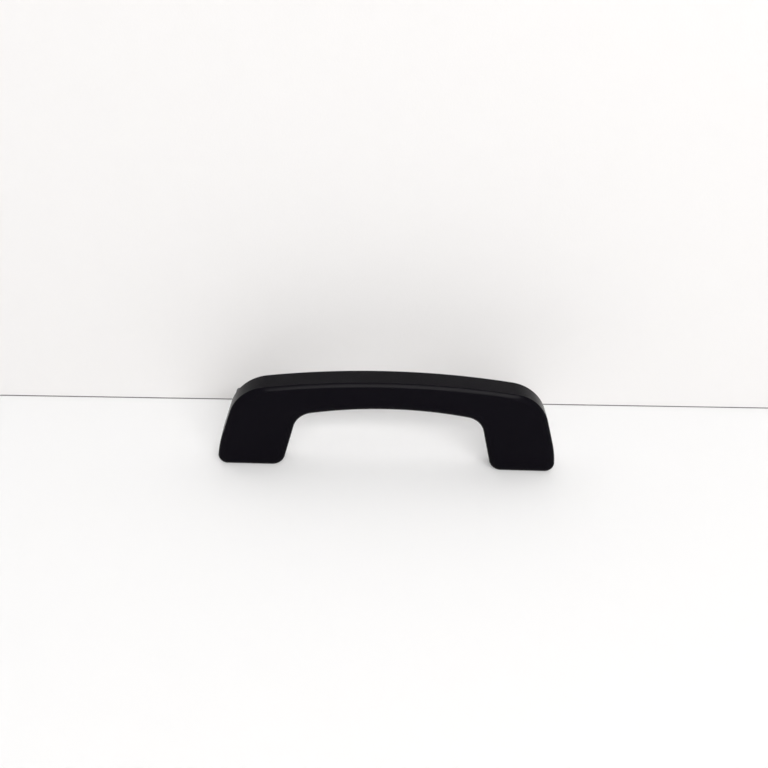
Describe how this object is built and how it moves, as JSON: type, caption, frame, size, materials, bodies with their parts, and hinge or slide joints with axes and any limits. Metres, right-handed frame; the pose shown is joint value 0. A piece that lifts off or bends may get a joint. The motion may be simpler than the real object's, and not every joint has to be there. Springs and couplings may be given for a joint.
{
  "type": "roof grab handle",
  "caption": "Fold-down roof grab handle: a moulded C-shaped grip hinged on roof brackets, closed by a torsion spring and slowed by a rotary damper.",
  "frame": {"origin": "middle of the feet's ends, at half the depth between the grip's front face and the roof faces", "axes": "+X along the grip, +Y towards the roof rail, +Z from the feet's ends to the crown; the hinge axis is parallel to +X"},
  "size_m": [0.22, 0.023, 0.064],
  "materials": {
    "moulding_black": "fine matte texture",
    "bracket_grey": "glass-filled, satin",
    "cap_black": "fine matte texture",
    "zinc_steel": "zinc plated",
    "spring_steel": "drawn wire",
    "damper_white": "satin",
    "rubber_black": "matte"
  },
  "bodies": {
    "roof_mount": {"bracket_left": "bracket_grey", "bracket_right": "bracket_grey", "bush_left": "zinc_steel", "bush_right": "zinc_steel", "bolt_cap_left": "cap_black", "bolt_cap_right": "cap_black", "return_spring": "spring_steel", "spring_sleeve": "damper_white", "damper_housing": "damper_white", "damper_lid": "damper_white", "damper_seals": "rubber_black"},
    "grip": {"grip": "moulding_black", "grip_back_cover": "moulding_black", "pivot_pin_left": "zinc_steel", "pivot_pin_right": "zinc_steel", "pin_plug_left": "cap_black", "pin_plug_right": "cap_black", "damper_rotor": "bracket_grey", "buffer_left": "rubber_black", "buffer_right": "rubber_black"}
  },
  "joints": [
    {"name": "fold", "type": "hinge", "parent": "roof_mount", "child": "grip", "pos_m": [0, 0, 0.0095], "axis": [1, 0, 0], "range_deg": [0, 90], "stiffness_Nm_per_rad": 0.08, "springref_deg": -108.86, "deforming": ["return_spring"]}
  ]
}
